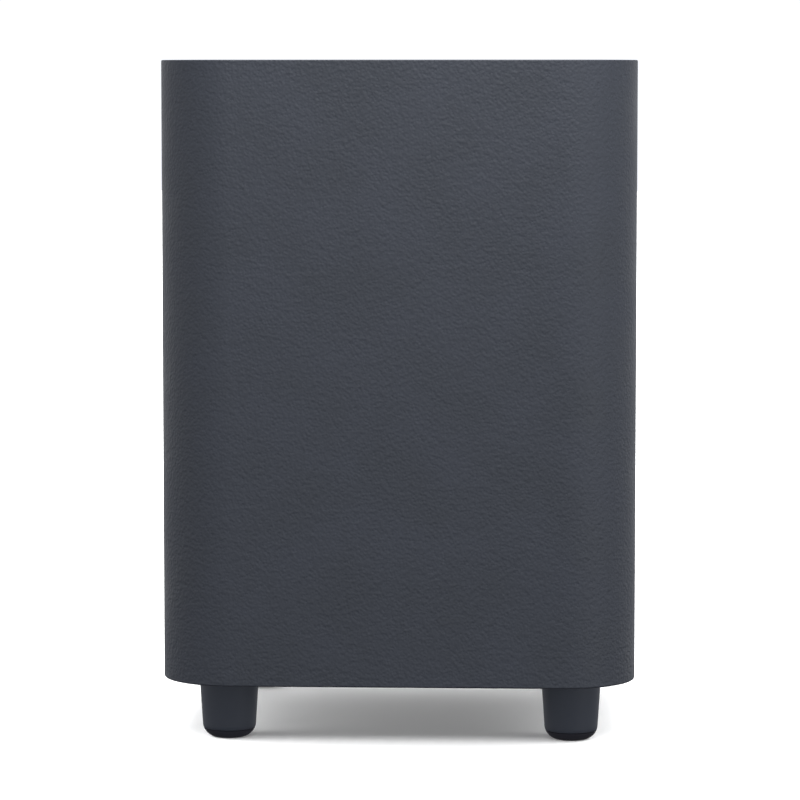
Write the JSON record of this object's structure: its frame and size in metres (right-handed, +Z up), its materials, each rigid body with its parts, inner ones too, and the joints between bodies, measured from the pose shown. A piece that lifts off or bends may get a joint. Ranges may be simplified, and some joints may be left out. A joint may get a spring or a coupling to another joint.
{
  "type": "subwoofer",
  "caption": "Upright box subwoofer of a soundbar set: rounded wrapped cabinet on tapered feet, down-firing driver, rear reflex port and amplifier plate.",
  "frame": {"origin": "on the floor under the middle of the cabinet, in the plane of the four soles", "axes": "+Z up, front faces -Y, rear with the port and the amplifier plate faces +Y, +X to the right of someone facing the front"},
  "size_m": [0.305, 0.305, 0.44],
  "materials": {
    "wrapped_board": "matte",
    "bare_board": "matte",
    "wadding": "matte",
    "port_plastic": "satin",
    "foot_plastic": "matte",
    "sole_rubber": "matte",
    "screw_steel": "satin",
    "insert_brass": "satin",
    "basket_paint": "satin",
    "gasket_foam": "matte",
    "surround_rubber": "matte",
    "trim_plastic": "satin",
    "cone_paper": "matte",
    "former_aluminium": "satin",
    "coil_copper": "satin",
    "spider_cloth": "matte",
    "motor_steel": "satin",
    "magnet_ferrite": "matte",
    "terminal_board": "matte",
    "panel_plastic": "matte",
    "circuit_board": "satin",
    "transformer_core": "matte",
    "capacitor_sleeve": "satin",
    "chip_resin": "matte",
    "heatsink_aluminium": "satin",
    "shield_tin": "satin",
    "inlet_plastic": "satin",
    "pin_nickel": "polished",
    "button_plastic": "satin",
    "plunger_plastic": "matte",
    "light_rod": "gloss",
    "wire_sleeve": "satin",
    "connector_nylon": "matte"
  },
  "bodies": {
    "cabinet": {"cabinet_sleeve": "wrapped_board", "top_panel": "wrapped_board", "bottom_baffle": "wrapped_board", "window_brace": "bare_board", "damping_wadding": "wadding", "port_mouth": "port_plastic", "port_tube": "port_plastic", "port_inner_flare": "port_plastic", "foot_front_left": "foot_plastic", "foot_front_right": "foot_plastic", "foot_rear_left": "foot_plastic", "foot_rear_right": "foot_plastic", "foot_pad_front_left": "sole_rubber", "foot_pad_front_right": "sole_rubber", "foot_pad_rear_left": "sole_rubber", "foot_pad_rear_right": "sole_rubber", "foot_screws": "screw_steel", "driver_screws": "screw_steel", "plate_screws": "screw_steel", "housing_screws": "screw_steel", "board_screws": "screw_steel", "foot_inserts": "insert_brass", "terminal_tabs": "insert_brass", "board_spacers": "insert_brass", "basket": "basket_paint", "driver_gasket": "gasket_foam", "plate_gasket": "gasket_foam", "harness_gland": "gasket_foam", "surround": "surround_rubber", "trim_ring": "trim_plastic", "tinsel_leads": "coil_copper", "spider": "spider_cloth", "top_plate": "motor_steel", "yoke": "motor_steel", "magnet": "magnet_ferrite", "terminal_strip": "terminal_board", "amp_plate": "panel_plastic", "amp_housing": "panel_plastic", "power_board": "circuit_board", "amp_board": "circuit_board", "transformer": "transformer_core", "bulk_capacitors": "capacitor_sleeve", "amp_chip": "chip_resin", "output_inductors": "chip_resin", "heatsink": "heatsink_aluminium", "wireless_module": "shield_tin", "service_port": "shield_tin", "mains_inlet": "inlet_plastic", "inlet_pins": "pin_nickel", "button_switch": "button_plastic", "status_light": "light_rod", "speaker_harness": "wire_sleeve", "harness_connectors": "connector_nylon"},
    "cone_assembly": {"cone": "cone_paper", "dust_cap": "cone_paper", "voice_coil_former": "former_aluminium", "voice_coil": "coil_copper"},
    "connect_button": {"connect_button": "button_plastic", "switch_plunger": "plunger_plastic"}
  },
  "joints": [
    {"name": "cone_excursion", "type": "slide", "parent": "cabinet", "child": "cone_assembly", "axis": [0, 0, 1], "range_m": [-0.009, 0.009], "stiffness_N_per_m": 2000, "springref_m": 0.00045, "deforming": ["surround", "spider", "tinsel_leads"]},
    {"name": "connect_button_press", "type": "slide", "parent": "cabinet", "child": "connect_button", "axis": [0, -1, 0], "range_m": [0, 0.0008], "stiffness_N_per_m": 800, "springref_m": -0.0005}
  ]
}
